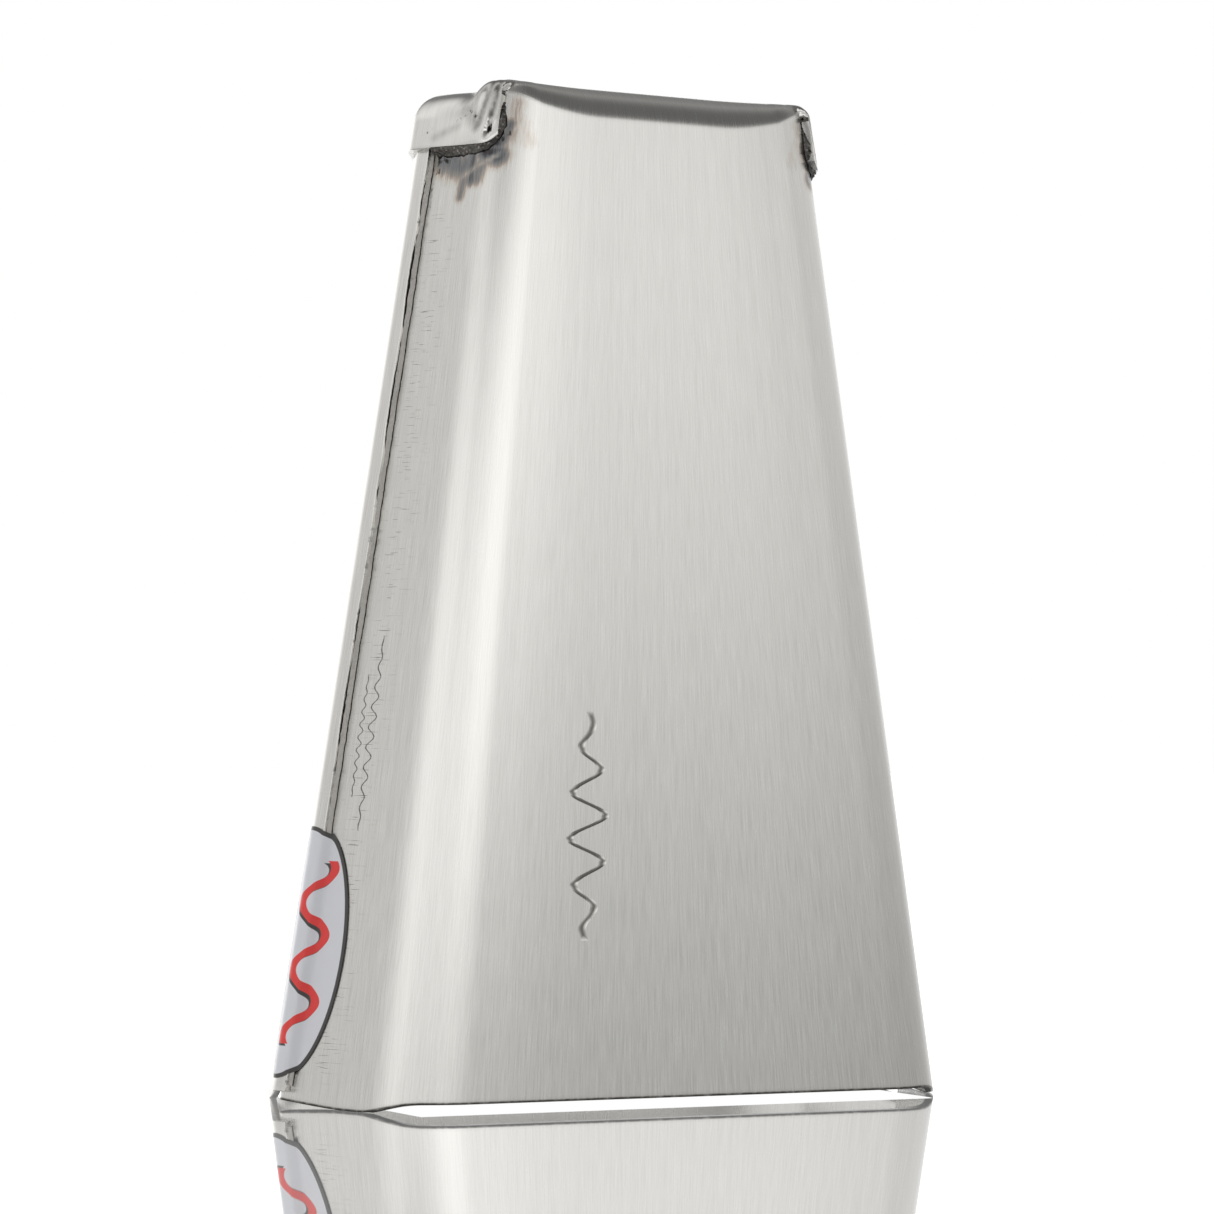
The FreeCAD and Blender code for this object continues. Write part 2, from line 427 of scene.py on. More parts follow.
def linear(hex_colour: str, alpha: float = 1.0) -> tuple[float, float, float, float]:
    """Linear colour of an sRGB hex value: c/12.92 below 0.04045, else ((c+0.055)/1.055)^2.4."""
    parts = [int(hex_colour[i : i + 2], 16) / 255 for i in (1, 3, 5)]
    return (*[c / 12.92 if c <= 0.04045 else ((c + 0.055) / 1.055) ** 2.4 for c in parts], alpha)


class Tree:
    """A material's or world's node tree."""

    def __init__(self, owner: bpy.types.ID) -> None:
        """Start an empty tree on owner."""
        owner.use_nodes = True
        self.nodes = owner.node_tree.nodes
        self.links = owner.node_tree.links
        self.nodes.clear()

    def add(self, kind: str, inputs: dict | None = None, **settings: object) -> bpy.types.Node:
        """Add a node.

        Args:
            kind: node type, without the ShaderNode prefix.
            inputs: socket name or number to a value, or to an output socket to link.
            settings: the node's own properties.

        Returns:
            The node.
        """
        made = self.nodes.new("ShaderNode" + kind)
        for key, value in settings.items():
            setattr(made, key, value)
        for key, value in (inputs or {}).items():
            if isinstance(value, Socket):
                self.links.new(value, made.inputs[key])
            else:
                made.inputs[key].default_value = value
        return made

    def ramp(self, factor: Socket, stops: list[tuple[float, object]]) -> Socket:
        """Colour ramp through (place, hex colour or grey level) stops.

        Args:
            factor: what drives it.
            stops: places from 0 to 1 in order.

        Returns:
            Its colour output.
        """
        made = self.add("ValToRGB", {"Fac": factor})
        elements = made.color_ramp.elements
        elements.remove(elements[1])
        elements[0].position = stops[0][0]
        for number, (place, value) in enumerate(stops):
            element = elements.new(place) if number else elements[0]
            element.color = linear(value) if isinstance(value, str) else (value, value, value, 1.0)
        return made.outputs["Color"]

    def math(self, operation: str, *values: object) -> Socket:
        """Result of one sum of numbers or sockets."""
        return self.add("Math", dict(enumerate(values)), operation=operation).outputs[0]

    def blend(self, kind: str, factor: object, a: object, b: object) -> Socket:
        """Colours a and b blended by factor, in the way that kind names."""
        made = self.add("Mix", data_type="RGBA", blend_type=kind)
        for place, value in ((0, factor), (6, a), (7, b)):
            if isinstance(value, Socket):
                self.links.new(value, made.inputs[place])
            else:
                made.inputs[place].default_value = value
        return made.outputs[2]

    def flat(self) -> bpy.types.Node:
        """The piece's UV map in millimetres, split into its numbers."""
        return self.add("SeparateXYZ", {0: self.add("UVMap", uv_map="UVMap").outputs["UV"]})

    def grain(self, across: float, along: float, detail: float = 2.0) -> Socket:
        """Noise drawn out along the sheet.

        Args:
            across: size of a feature across the grain in millimetres.
            along: its size up the sheet.
            detail: octaves of the noise.

        Returns:
            Noise level from 0 to 1.
        """
        flat = self.add("UVMap", uv_map="UVMap").outputs["UV"]
        scaled = self.add("Mapping", {"Vector": flat, "Scale": (1 / across, 1 / along, 1.0)})
        settings = {"Vector": scaled.outputs[0], "Scale": 1.0, "Detail": detail}
        return self.add("TexNoise", settings, noise_dimensions="2D").outputs["Fac"]

    def swing(self, noise: Socket, amount: float) -> Socket:
        """Noise made to run evenly either side of zero: (noise - 0.5) times amount."""
        return self.math("MULTIPLY", self.math("SUBTRACT", noise, 0.5), amount)

    def level(self, name: str) -> Socket:
        """One of the mesh's own named levels."""
        return self.add("Attribute", attribute_name=name).outputs["Fac"]

    def finish(self, shader: bpy.types.Node) -> None:
        """Link a shader to the output."""
        self.add("OutputMaterial", {"Surface": shader.outputs[0]})


@dataclass(frozen=True)
class Engraving:
    """A plain engraved ornament: a wavy line up the sheet whose swing dies away to its ends."""

    across: float
    low: float
    high: float
    swing: float
    wave: float
    stroke: float

    def mask(self, tree: Tree, flat: bpy.types.Node) -> Socket:
        """Mask of the line: |x - across - swing e sin(2 pi y / wave)| under the stroke's half.

        e = sin(pi (y - low) / (high - low)) is the swing's envelope.

        Args:
            tree: tree to add to.
            flat: node whose first two outputs are the sheet's flat coordinates.

        Returns:
            1 on the line and 0 off it.
        """
        turn = tree.math("MULTIPLY_ADD", flat.outputs[1], math.pi / (self.high - self.low),
                         -math.pi * self.low / (self.high - self.low))
        envelope = tree.math("SINE", tree.math("MINIMUM", tree.math("MAXIMUM", turn, 0.0), math.pi))
        curve = tree.math("SINE", tree.math("MULTIPLY", flat.outputs[1], 2 * math.pi / self.wave))
        middle = tree.math("MULTIPLY_ADD", tree.math("MULTIPLY", curve, envelope), self.swing, self.across)
        gap = tree.math("ABSOLUTE", tree.math("SUBTRACT", flat.outputs[0], middle))
        slope = 1.0 / math.hypot(1.0, self.swing * 2 * math.pi / self.wave * 0.6)
        inside = tree.math("SUBTRACT", self.stroke, tree.math("MULTIPLY", gap, slope))
        ends = tree.math("MULTIPLY", tree.math("SUBTRACT", envelope, 0.04), 8.0)
        near = tree.math("MINIMUM", tree.math("MULTIPLY", inside, 0.6 / self.stroke), ends)
        return tree.add("Clamp", {"Value": tree.math("MULTIPLY", near, 2.0)}).outputs[0]


@dataclass(frozen=True)
class BrushedSteel:
    """Cold-rolled steel sheet, brushed up and down with a belt of about 120 grit.

    The belt leaves fine parallel scratches, so reflections are drawn out across the grain.
    """

    name: str
    light: str = "#CFCECA"
    dark: str = "#C3C1BD"
    roughness: float = 0.25
    anisotropy: float = 0.66
    scratch_width: float = 0.24
    scratch_length: float = 9.0
    band_width: float = 1.5
    band_length: float = 120.0
    scratch_depth: float = 0.0028
    middle: float = 75.9  # the middle of the face, along the sheet from the ridge
    bend_end: float = 38.0  # the bends' ends, from the middle of the face
    run_out: float = 11.0  # how far past its end a bend fades out
    tilt: float = 0.085  # the face's slope where the bend ends
    engraved_depth: float = 0.12
    engravings: tuple[Engraving, ...] = (
        Engraving(57.0, 33.5, 81.0, 3.6, 9.5, 0.44),
        Engraving(9.6, 55.0, 96.0, 0.9, 4.1, 0.15),
        Engraving(6.8, 62.0, 88.0, 0.55, 2.6, 0.12),
    )

    def build(self) -> bpy.types.Material:
        """Material with brushed grain, heat tint, soot, cross scratches and painted shade from the mesh's
        levels.
        """
        material = bpy.data.materials.new(self.name)
        tree = Tree(material)
        fine = tree.grain(self.scratch_width, self.scratch_length)
        band = tree.grain(self.band_width, self.band_length, 1.0)
        spots = tree.grain(1.1, 1.4, 4.0)
        mottle = tree.math("ADD", tree.math("MULTIPLY", fine, 0.8), tree.math("MULTIPLY", band, 0.2))
        steel = tree.ramp(mottle, [(0.30, self.dark), (0.70, self.light)])

        # Cross scratches: short ticks across the grain, only where the mesh's level asks for them.
        ticks = tree.grain(6.0, 0.30, 2.0)
        tick = tree.math("MULTIPLY", tree.ramp(ticks, [(0.66, 0.0), (0.73, 1.0)]), tree.level("scuff"))
        steel = tree.blend("MULTIPLY", tick, steel, linear("#8E8C88"))

        # Heat tint beside the welds: straw, then brown and reddish, then blue-grey to black.
        ragged = tree.grain(0.55, 2.6, 4.0)
        heat = tree.math("ADD", tree.level("tint"), tree.swing(ragged, 0.34))
        tint = tree.ramp(
            heat,
            [(0.0, "#FFFFFF"), (0.12, "#FFFFFF"), (0.28, "#F1ECE7"), (0.39, "#D3C7BF"),
             (0.47, "#B5B0AD"), (0.68, "#8E9196"), (0.86, "#5E5C60"), (1.0, "#343130")],
        )
        steel = tree.blend("MULTIPLY", 1.0, steel, tint)

        # Soot and weld spatter: black specks whose edges follow a fine noise.
        soot_edge = tree.math("ADD", tree.level("soot"), tree.swing(spots, 0.9))
        soot = tree.ramp(soot_edge, [(0.38, 0.0), (0.62, 1.0)])
        steel = tree.blend("MIX", soot, steel, linear("#3B3836"))

        # Painted shade: smooth grey darkening in the flap's dents and along the wall's lower edge.
        painted_shade = tree.math("MULTIPLY", tree.level("painted_shade"), tree.math("MULTIPLY_ADD", spots, 0.9, 0.55))
        steel = tree.blend("MULTIPLY", painted_shade, steel, linear("#54514E"))

        rough = tree.math("ADD", self.roughness - 0.04, tree.math("MULTIPLY", fine, 0.09))
        rough = tree.math("ADD", rough, tree.math("MULTIPLY", soot, 0.3))
        # The bends run out softly into the face: the height follows tanh of the distance past them.
        flat = tree.flat()
        across = tree.math("MODULO", flat.outputs[0], PATTERN_SHIFT)
        across = tree.math("ABSOLUTE", tree.math("SUBTRACT", across, self.middle))
        past = tree.math("MULTIPLY", tree.math("SUBTRACT", across, self.bend_end), 1 / self.run_out)
        domed = tree.math("MULTIPLY", tree.math("TANH", past), -self.tilt * self.run_out)
        cut = None
        for engraving in self.engravings:
            line = engraving.mask(tree, flat)
            cut = line if cut is None else tree.math("MAXIMUM", cut, line)
        steel = tree.blend("MULTIPLY", tree.math("MULTIPLY", cut, 0.9), steel, linear("#84827E"))
        domed = tree.math("MULTIPLY_ADD", cut, -self.engraved_depth, domed)
        grooved = tree.math("MULTIPLY_ADD", fine, self.scratch_depth, domed)
        bump = tree.add("Bump", {"Height": grooved, "Strength": 1.0, "Distance": MM})
        tangent = tree.add("Tangent", direction_type="UV_MAP", uv_map="UVMap")
        shader = tree.add(
            "BsdfPrincipled",
            {"Base Color": steel, "Roughness": rough, "Metallic": 1.0, "Anisotropic": self.anisotropy,
             "Normal": bump.outputs[0], "Tangent": tangent.outputs[0]},
        )
        tree.finish(shader)
        return material


@dataclass(frozen=True)
class WeldMetal:
    """Unground weld metal with its black oxide skin, granular and dull; its toe lines are oxide darkened
    further with painted shade, and its middle can be bare bright metal with a painted highlight.
    """

    name: str
    skin: str = "#55524F"
    bright: str = "#B9B6B1"
    # colour of the painted shade along the bead's toes
    toe: str = "#1F1C1A"
    grit: float = 0.5

    def build(self) -> bpy.types.Material:
        """Material whose bare bright middle with its painted highlight, and its painted shade at the toes,
        follow the mesh's levels.
        """
        material = bpy.data.materials.new(self.name)
        tree = Tree(material)
        grain = tree.grain(self.grit, self.grit, 4.0)
        speck = tree.ramp(grain, [(0.35, self.skin), (0.62, "#6B6864"), (0.74, self.bright)])
        # Bare ground metal at the crest, with a painted highlight there.
        shine = tree.math("ADD", tree.level("shine"), tree.swing(grain, 0.5))
        metal = tree.blend("MIX", tree.ramp(shine, [(0.35, 0.0), (0.65, 1.0)]), speck, linear(self.bright))
        # Painted shade: both edges of the bead darkened nearly to black.
        edge = tree.math("ADD", tree.level("toe"), tree.swing(grain, 0.6))
        metal = tree.blend("MIX", tree.ramp(edge, [(0.42, 0.0), (0.6, 1.0)]), metal, linear(self.toe))
        bump = tree.add("Bump", {"Height": grain, "Strength": 0.8, "Distance": 0.08 * MM})
        shader = tree.add(
            "BsdfPrincipled",
            {"Base Color": metal, "Roughness": 0.5, "Metallic": 0.85, "Normal": bump.outputs[0]},
        )
        tree.finish(shader)
        return material


@dataclass(frozen=True)
class PrintedFilm:
    """Satin white vinyl film, screen printed: a dark rim line, and a red wave with a dark shadow."""

    name: str
    half_length: float
    film: str = "#D6D7DC"
    red: str = "#E0322E"
    ink: str = "#3A3836"
    line: float = 0.8
    wave_length: float = 13.5
    wave_swing: float = 3.0
    wave_middle: float = 3.4  # in front of the seam's ridge
    wave_margin: float = 7.0  # from the label's two ends
    shadow: tuple[float, float] = (-0.45, -0.45)
    stroke: float = 1.25

    def wave(self, tree: Tree, shift: tuple[float, float]) -> Socket:
        """Mask of the wave: where |x - swing sin(2 pi y / length)| is under the stroke's half.

        Args:
            tree: tree to add to.
            shift: how far the wave is moved, across and along.

        Returns:
            1 inside the wave and 0 outside.
        """
        flat = tree.flat()
        along = tree.math("SUBTRACT", flat.outputs[1], shift[1])
        curve = tree.math("SINE", tree.math("MULTIPLY", along, 2 * math.pi / self.wave_length))
        middle = tree.math("MULTIPLY_ADD", curve, self.wave_swing, self.wave_middle + shift[0])
        gap = tree.math("SUBTRACT", flat.outputs[0], middle)
        inside = tree.math("SUBTRACT", self.stroke, tree.math("ABSOLUTE", gap))
        ends = tree.math("SUBTRACT", self.half_length - self.wave_margin, tree.math("ABSOLUTE", along))
        near = tree.math("MULTIPLY", tree.math("MINIMUM", inside, ends), 8.0)
        return tree.add("Clamp", {"Value": tree.math("ADD", near, 0.5)}).outputs[0]

    def build(self) -> bpy.types.Material:
        """Film colour, the print over it and the rim line, all from the label's own coordinates."""
        material = bpy.data.materials.new(self.name)
        tree = Tree(material)
        colour = tree.blend("MIX", self.wave(tree, self.shadow), linear(self.film), linear(self.ink))
        colour = tree.blend("MIX", self.wave(tree, (0.0, 0.0)), colour, linear(self.red))
        inset = tree.math("MULTIPLY", tree.level("inset"), 0.1)
        dark_rim = tree.ramp(inset, [(0.1 * self.line, 1.0), (0.1 * self.line + 0.006, 0.0)])
        colour = tree.blend("MIX", dark_rim, colour, linear(self.ink))
        peel = tree.grain(1.6, 1.6, 2.0)
        bump = tree.add("Bump", {"Height": peel, "Strength": 0.2, "Distance": 0.01 * MM})
        shader = tree.add(
            "BsdfPrincipled",
            {"Base Color": colour, "Roughness": 0.32, "IOR": 1.5, "Normal": bump.outputs[0]},
        )
        tree.finish(shader)
        return material


@dataclass(frozen=True)
class GlossyAcrylic:
    """Polished white acrylic board: a clear mirror-like face over white."""

    name: str = "polished white acrylic board"
    mirror: float = 0.88

    def build(self) -> bpy.types.Material:
        """An even share of sharp mirror and of plain white."""
        material = bpy.data.materials.new(self.name)
        tree = Tree(material)
        white = tree.add("Emission", {"Color": linear("#FFFFFF")})
        mirror = tree.add("BsdfGlossy", {"Color": linear("#FFFFFF"), "Roughness": 0.015})
        tree.finish(tree.add("MixShader", {0: self.mirror, 1: white.outputs[0], 2: mirror.outputs[0]}))
        return material


# ---- Pieces ----


def mount(obj: bpy.types.Object, node: str, material: bpy.types.Material) -> bpy.types.Object:
    """Hang a piece on the frame in place of its CAD node.

    Args:
        obj: the piece.
        node: the CAD node it stands for.
        material: its finish.

    Returns:
        The piece.
    """
    obj.data.materials.clear()
    obj.data.materials.append(material)
    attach(obj, "root")
    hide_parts(node)
    LOG.info("%s: %d faces, stands for %s", obj.name, len(obj.data.polygons), node)
    return obj


@dataclass
class Rim:
    """The mouth's lower edge: it stands on a stretch at each corner and is lifted elsewhere."""

    face_lift: float = 2.0
    foot_setback: float = 13.0
    foot_length: float = 5.0
    ramp: float = 11.0
    arch_power: float = 1.3

    def height(self, y: Array, seam_lift: float) -> Array:
        """Height of the rim at distance y from the seams' plane.

        Zero on the foot, a smooth step up towards the face, and seam_lift times a power of the
        distance from the foot towards the seam.
        """
        far = FORM.mouth_depth / 2 - self.foot_setback
        near = far - self.foot_length
        towards_face = self.face_lift * smooth(far, far + self.ramp, y)
        towards_seam = seam_lift * np.clip((near - y) / near, 0.0, 1.2) ** self.arch_power
        return towards_face + towards_seam

    def edge(self, form: Form, u: Array, seam_lift: float) -> Array:
        """Height of the rim in each column of one half's wall."""
        return self.height(-form.at(form.along(u, np.zeros_like(u)), 0.0, 0.0)[:, 1], seam_lift)


@dataclass
class FrontShell:
    """Front face, its flanges, and the crown with its end and rear flaps: one folded sheet."""

    rim: Rim
    seam_lift: float = 1.1
    face_roll: float = 7.0  # outside radius of the fold between face and crown
    corner_roll: float = 2.6  # the same fold at the crown's front corners
    end_roll: float = 5.5  # and at the crown's two ends
    flap_edge: float = 196.5
    flap_rise: float = 4.0  # how far the flap's lower edge curves up at its front corner
    ridge_lift: float = 3.2  # the flap lies outside the flange, the lip and its own gap
    end_lift: float = 1.75  # and outside the flange alone at its front edge
    end_sag: float = 1.7  # the crown's ends are lower than its middle
    cover_gap: float = 0.1  # between the rear flap and the rear shell
    corner_span: tuple[float, float] = (9.0, 15.5)  # s where the end's fold tightens to the corner's
    face_span: tuple[float, float] = (1.45, 2.5)  # columns where it opens to the face's fold
    sag_span: tuple[float, float] = (12.5, 17.0)  # s where the end's sag dies away
    lift_span: tuple[float, float] = (3.0, 15.0)  # s where ridge_lift becomes end_lift
    step_width: tuple[float, float] = (0.35, 3.35)  # of the flap's front step, below and on the crown
    spine_half: float = 17.0  # half the line along the crown's middle where front and rear meet
    body_rows: int = 44
    top_rows: int = 52
    flap_rows: int = 13
    roll_rows: int = 14
    crown_rows: int = 9
    heat: tuple[Mark, ...] = (
        Mark((6.0, 194.0), (12.5, 192.0), 3.8, 0.68),
        Mark((8.0, 195.5), (20.0, 196.5), 1.7, 0.9),
        Mark((14.4, 194.5), (14.8, 189.0), 1.5, 0.80),
        Mark((17.6, 195.0), (20.4, 194.0), 2.6, 0.92),
        Mark((12.8, 191.0), (12.4, 186.0), 1.6, 0.60),
        Mark((17.4, 193.0), (16.2, 189.5), 2.2, 0.62),
        Mark((20.9, 197.0), (22.0, 200.5), 1.5, 0.70),
        Mark((22.6, 197.0), (22.8, 205.0), 2.2, 0.36),
        Mark((24.0, 200.5), (26.5, 197.0), 2.4, 0.27),
    )
    flash: tuple[Mark, ...] = (Mark((11.5, 189.7), (20.6, 194.2), 0.55, 1.0),)
    soot: tuple[Mark, ...] = (
        Mark((4.5, 195.5), (5.0, 191.5), 0.6, 0.68),
        Mark((3.9, 188.0), (4.2, 184.0), 0.5, 0.5),
        Mark((6.0, 194.2), (7.4, 193.6), 0.8, 0.6),
        Mark((20.8, 197.0), (22.0, 198.6), 0.7, 0.55),
    )
    flap_soot: tuple[Mark, ...] = (
        Mark((13.0, 203.4), (15.5, 202.0), 0.7, 0.46),
        Mark((9.5, 201.6), (12.0, 202.4), 0.6, 0.44),
        Mark((3.0, 199.2), (5.0, 200.2), 0.6, 0.40),
    )
    # painted shade on the end flaps, mostly along the hammered grooves
    flap_painted_shade: tuple[Mark, ...] = (
        Mark((17.6, 210.5), (15.4, 199.8), 1.0, 0.62),
        Mark((18.8, 209.0), (18.3, 202.2), 0.75, 0.70),
        Mark((12.0, 204.0), (15.0, 201.5), 1.8, 0.45),
        Mark((11.0, 206.2), (15.5, 208.0), 1.9, 0.42),
        Mark((6.0, 198.5), (11.0, 200.5), 0.9, 0.25),
    )
    grooves: tuple[Mark, ...] = (
        Mark((16.9, 211.0), (15.6, 200.5), 0.9, 0.55),
        Mark((18.9, 210.0), (18.4, 202.5), 0.6, 0.35),
        Mark((10.5, 208.5), (11.5, 204.5), 3.6, 0.6),
    )
    hole: Mark = Mark((17.9, 198.9), (18.3, 200.1), 0.40, 1.5)
    scuff: tuple[Mark, ...] = (
        Mark((7.5, 178.0), (12.0, 10.0), 4.0, 0.7),
    )

    def roll(self, s: Array, u: Array) -> Array:
        """Radius of the crown's edge: end_roll, down to corner_roll, up to face_roll."""
        to_corner = mix(self.end_roll, self.corner_roll, smooth(*self.corner_span, s))
        return mix(to_corner, self.face_roll, smooth(*self.face_span, u))

    def top(self, s: Array, u: Array) -> Array:
        """Height of the crown's edge: lower by end_sag at the ends than from the corner on."""
        return FORM.height - self.end_sag * (1.0 - smooth(*self.sag_span, s)) * (u < 2)

    def lift(self, s: Array) -> Array:
        """How far the end flap lies outside the sheet below it, from the ridge to its front edge."""
        return mix(self.ridge_lift, self.end_lift, smooth(*self.lift_span, s))

    def cover(self, s: Array, u: Array) -> Array:
        """The same for the skirt behind the ridge, which closes on the rear shell round the bend."""
        return mix(self.lift(s), FORM.sheet + self.cover_gap, smooth(1.0, 2.0, u)[None, :])

    def join(self, u: Array) -> Array:
        """Height where the roll starts in each column: the crown's edge less its radius."""
        s = FORM.along(u, np.full_like(u, FORM.height - self.face_roll))
        return self.top(s, u) - self.roll(s, u)

    def levels(self, s: Array, z: Array, left: Array) -> dict[str, Array]:
        """Heat, soot and scuff levels of the wall; the right side has a weaker copy of each."""
        share = np.where(left > 0, 1.0, 0.8)
        line = painted(self.flash, s, z)
        heat = painted(self.heat, s, z)
        heat = np.where(heat > 0.4, mix(heat, 0.42, line), heat)
        return {
            "tint": heat * share,
            "soot": painted(self.soot, s, z) * share,
            "scuff": painted(self.scuff, s, z) * (left > 0),
        }

    def wall(self) -> Patch:
        """The wall from the rim to the roll, its rows closer together near the crown."""
        u, sign = both_sides(columns())
        join = self.join(u)
        rim = self.rim.edge(FORM, u, self.seam_lift)
        low = np.linspace(0, 0.84, self.body_rows)[1:]
        share = np.concatenate([[0.0, 0.0015, 0.003, 0.006], low, np.linspace(0.84, 1, self.top_rows)[1:]])
        z = rim + (join - rim) * share[:, None]
        s = FORM.along(u[None, :], z)
        left = np.broadcast_to(sign, z.shape)
        # painted shade along the wall's lower edge, within 0.7 mm of the rim
        levels = self.levels(s, z, left) | {"painted_shade": 1.1 * smooth(0.7, 0.15, z - rim)}
        return wall_patch(u, sign, z, np.zeros_like(z), Half.FRONT, levels)

    def flap_levels(self, s: Array, z: Array) -> dict[str, Array]:
        """Soot, and painted shade in a flap's dents and pinhole; it has no heat tint or scuffs."""
        return {
            # the pinhole is darkened with painted shade on top of its dent
            "soot": painted(self.flap_soot, s, z) + 0.8 * self.hole.paint(s, z),
            "painted_shade": painted(self.flap_painted_shade, s, z),
        }

    def dents(self, s: Array, z: Array) -> Array:
        """Depth of the hammered grooves and the small hole of an end flap."""
        return painted(self.grooves, s, z, np.add) + self.hole.paint(s, z)

    def end_flap(self, side: Side) -> Patch:
        """An end flap's skirt in front of the ridge: its lower edge curves up to its front edge."""
        left = columns()
        left = left[left <= FLAP_END + 1e-9]
        u = left if side is Side.LEFT else left[::-1]
        sign = np.full(len(u), float(side.value))
        join = self.join(u)
        s = FORM.along(u, join)
        front = FORM.along(np.array(FLAP_END), np.array(self.flap_edge))
        curve = np.clip((s - front + self.flap_rise) / self.flap_rise, 0.0, 0.995)
        low = self.flap_edge + self.flap_rise * (1.0 - np.sqrt(1.0 - curve**2))
        z = low + (join - low) * np.linspace(0, 1, self.flap_rows)[:, None]
        s = FORM.along(u[None, :], z)
        off = self.lift(s) - self.dents(s, z)
        return wall_patch(u, sign, z, off, Half.FRONT, self.flap_levels(s, z))

    def rear_flap(self) -> Patch:
        """The skirt behind the ridges: both ends' rear parts and the rear flap in one band."""
        u, sign = both_sides(columns())
        join = self.join(u)
        z = self.flap_edge + (join - self.flap_edge) * np.linspace(0, 1, self.flap_rows)[:, None]
        s = FORM.along(u[None, :], z)
        off = self.cover(s, u)
        return wall_patch(u, sign, z, off, Half.REAR, {"soot": np.zeros_like(z)})

    def crown(self, half: Half) -> Patch:
        """One half of the crown: its rolled edge, and the top up to the middle line.

        The roll is a quarter circle: the outline moves in by R (1 - cos a) and up by R sin a. The
        top then goes straight to a short line along the middle, where the two halves meet.
        """
        u, sign = both_sides(columns())
        join = self.join(u)
        s_edge = FORM.along(u, join)
        radius = self.roll(s_edge, u)
        angle = np.linspace(0, math.pi / 2, self.roll_rows)[:, None]
        z = join + radius * np.sin(angle)
        inset = radius * (1 - np.cos(angle))
        s = FORM.along(u[None, :], z)
        if half is Half.FRONT:
            gap = mix(*self.step_width, angle / (math.pi / 2))
            step = 1.0 - smooth(0.0, 1.0, (s - s_edge[u <= FLAP_END].max()) / gap)
            step = np.where(u[None, :] <= FLAP_END, 1.0, step * (angle > 0))
            dents = np.where(u[None, :] <= FLAP_END + 0.3, self.dents(s, z), 0.0)
            off = self.lift(s) * step - dents * step
            levels = {key: level * step for key, level in self.flap_levels(s, z).items()}
        else:
            off = self.cover(s, u)
            levels = {"soot": np.zeros_like(z)}
        roll = wall_patch(u, sign, z, off - inset, half, levels)
        edge = roll.points[-1]
        across = (sign * FORM.at(FORM.along(u, join), join, 0.0)[:, 0])[:: half.value]
        across = np.clip(across, -self.spine_half, self.spine_half)
        spine = np.stack([across, np.zeros(len(edge)), np.full(len(edge), FORM.height)], -1)
        share = np.linspace(0, 1, self.crown_rows)[1:, None, None]
        top = mix(edge[None], spine[None], share)
        top[..., 2] = mix(edge[None, :, 2], FORM.height, smooth(0, 0.5, share[..., 0]))
        gone = np.linalg.norm(top - edge[None], axis=-1)
        top_flat = roll.flat[-1][None] + np.stack([np.zeros_like(gone), gone], -1)
        tail = {key: np.zeros(top.shape[:2]) for key in roll.levels}
        return Patch(
            np.concatenate([roll.points, top]),
            np.concatenate([roll.flat, top_flat]),
            {key: np.concatenate([value, tail[key]]) for key, value in roll.levels.items()},
        )

    def build(self, steel: bpy.types.Material) -> bpy.types.Object:
        """Make the shell and put it in place of its node."""
        patches = [self.wall(), self.end_flap(Side.LEFT), self.end_flap(Side.RIGHT), self.rear_flap()]
        patches += [self.crown(Half.FRONT), self.crown(Half.REAR)]
        shell = build_mesh("front_shell_sheet", patches)
        thicken(shell, FORM.sheet)
        soften(shell, 0.3)
        return mount(stand(settle(shell)), "front_shell", steel)


@dataclass
class RearShell:
    """Rear face and its flanges, each folded at the ridge into a lip on the front flange."""

    rim: Rim
    seam_lift: float = 3.0
    lip: float = 3.2
    top: float = 203.0
    rows: int = 60
    lip_jag: float = 0.16

    def build(self, steel: bpy.types.Material) -> bpy.types.Object:
        """Make the shell: a wide rear band, and a lip past each ridge."""
        u, sign = both_sides(columns())
        rim = self.rim.edge(REAR_FORM, u, self.seam_lift)
        share = np.linspace(0, 1, self.rows)[:, None]
        z = rim + (self.top - rim) * share
        off = np.broadcast_to(FORM.sheet * (1 - smooth(1.0, 2.0, u)), z.shape)
        band = wall_patch(u, sign, z, off, Half.REAR, {"scuff": np.zeros_like(z)})
        lips = [self.lip_patch(side, z[:, 0]) for side in Side]
        shell = build_mesh("rear_shell_sheet", [band, *lips])
        thicken(shell, FORM.sheet)
        soften(shell, 0.25)
        return mount(stand(settle(shell)), "rear_shell", steel)

    def lip_patch(self, side: Side, heights: Array) -> Patch:
        """The lip on the front flange, from the ridge to its cut edge, which wavers a little."""
        ridge = columns()[:5]
        reach = ridge[None, :] * FORM.flange(heights)[:, None]
        start = reach[:, -1]
        share = np.linspace(0, 1, 6)[1:]
        edge = self.lip + self.lip_jag * ripple(len(heights), 2, 5 + side.value)
        s = np.concatenate([reach, start[:, None] + (edge - start)[:, None] * share], 1)
        z = np.broadcast_to(heights[:, None], s.shape)
        points = placed(FORM.at(s, z, FORM.sheet), side)
        flat = np.stack([PATTERN_SHIFT - s, z], -1)
        patch = Patch(points, flat, {"soot": 0.3 * smooth(self.lip - 0.5, self.lip, s)})
        return patch if side is Side.LEFT else patch.flipped()


